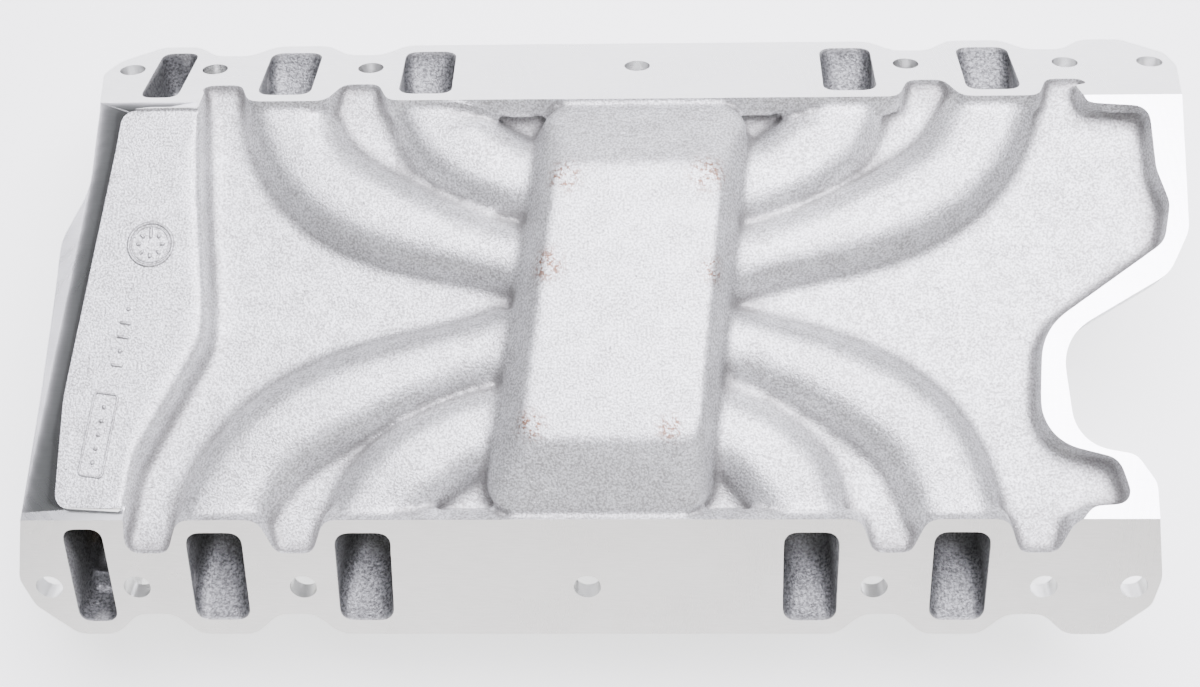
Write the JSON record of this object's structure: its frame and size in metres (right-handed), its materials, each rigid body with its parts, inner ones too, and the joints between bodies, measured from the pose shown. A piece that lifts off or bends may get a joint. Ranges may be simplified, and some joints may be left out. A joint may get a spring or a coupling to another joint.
{
  "type": "intake manifold",
  "caption": "Cast aluminium intake manifold for a V engine, with slanted scalloped head flanges, curved runners to a central plenum, a water crossover and a square carburettor pad.",
  "frame": {"origin": "centre of the carburettor pad's machined face, on which the manifold lies upside down", "axes": "+X from the water crossover at the front to the distributor notch at the rear, +Y to the left bank, +Z out of the underside"},
  "size_m": [0.4553, 0.2454, 0.1182],
  "materials": {
    "cast_aluminium": "as cast, with milled sealing faces",
    "thread_steel": "plain stainless thread inserts",
    "nipple_steel": "zinc plated",
    "plug_brass": "turned brass",
    "plug_steel": "dark oiled steel"
  },
  "bodies": {
    "root": {"manifold_casting": "cast_aluminium", "carb_thread_inserts": "thread_steel", "outlet_thread_inserts": "thread_steel", "bypass_hose_nipple": "nipple_steel", "heater_hose_nipple": "nipple_steel", "temperature_sender_plug": "plug_brass", "plenum_vacuum_plug": "plug_steel", "runner_vacuum_plugs": "plug_brass"}
  },
  "joints": []
}
